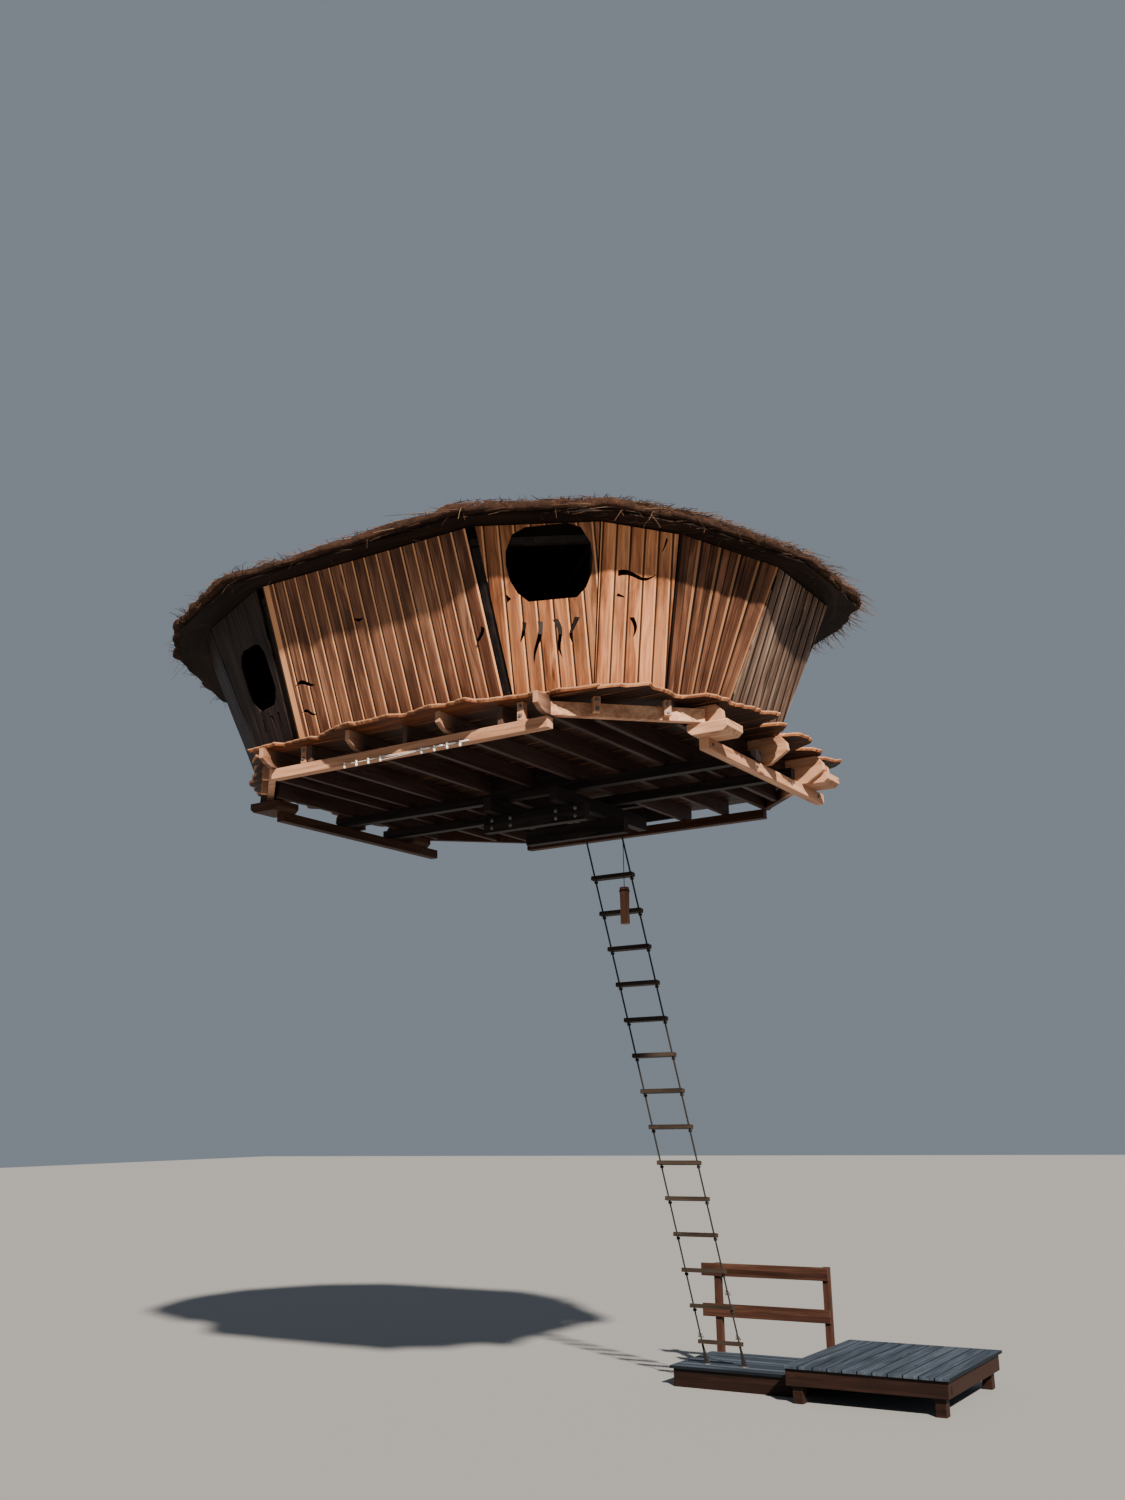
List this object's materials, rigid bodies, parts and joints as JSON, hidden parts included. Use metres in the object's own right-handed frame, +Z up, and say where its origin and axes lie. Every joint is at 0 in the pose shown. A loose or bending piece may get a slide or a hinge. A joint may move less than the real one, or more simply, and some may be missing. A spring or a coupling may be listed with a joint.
{
  "type": "tree house",
  "caption": "Flared board cabin on an octagonal beam platform clamped round a tree trunk, with brush roof, rope ladder and landing deck.",
  "frame": {"origin": "middle of the flat face of the lower front clamp beam that bears on the trunk", "axes": "+X to the right along the long front wall, +Y towards the back, away from the front wall, +Z up"},
  "size_m": [6.511, 6.8799, 7.5533],
  "materials": {
    "shaded_timber": "rough sawn, in shade",
    "fresh_timber": "planed, pale",
    "deck_boards": "planed boards with natural edges",
    "wall_boards": "oiled tongue and groove boards",
    "brush": "dry heather brush",
    "rope": "dark weathered rope",
    "rung_wood": "weathered",
    "shackle_steel": "galvanised, dull",
    "weathered_planks": "grey weathered planks",
    "stained_timber": "red-brown stain, worn",
    "log_bark": "peeled log",
    "peg_white": "white pegs"
  },
  "bodies": {
    "root": {"clamp_front": "shaded_timber", "clamp_back": "shaded_timber", "cross_beams": "shaded_timber", "bearer_front": "shaded_timber", "bearer_back": "shaded_timber", "rim_front": "fresh_timber", "rim_back": "fresh_timber", "rim_left": "fresh_timber", "rim_right": "fresh_timber", "slant_rims": "fresh_timber", "corner_blocks": "fresh_timber", "joists": "shaded_timber", "outriggers": "fresh_timber", "hatch_frame": "shaded_timber", "deck_front": "deck_boards", "deck_back": "deck_boards", "stud_feet": "wall_boards", "front_wall": "wall_boards", "window_wall": "wall_boards", "slit_wall": "wall_boards", "corner_wall": "wall_boards", "right_end_wall": "wall_boards", "right_back_walls": "wall_boards", "back_wall": "wall_boards", "left_back_walls": "wall_boards", "left_end_wall": "wall_boards", "left_corner_walls": "wall_boards", "left_window_wall": "wall_boards", "corner_studs": "wall_boards", "top_plates": "wall_boards", "rafters": "wall_boards", "roof_ring": "wall_boards", "roof_boards": "shaded_timber", "brush_roof": "brush", "ladder_bar": "shaded_timber", "ladder_ropes": "rope", "ladder_rungs": "rung_wood", "ladder_shackles": "shackle_steel", "low_deck": "weathered_planks", "high_deck": "weathered_planks", "landing_frame": "stained_timber", "rail_posts": "stained_timber", "rail_boards": "stained_timber", "hanging_log": "log_bark", "peg_string": "peg_white"}
  },
  "joints": []
}
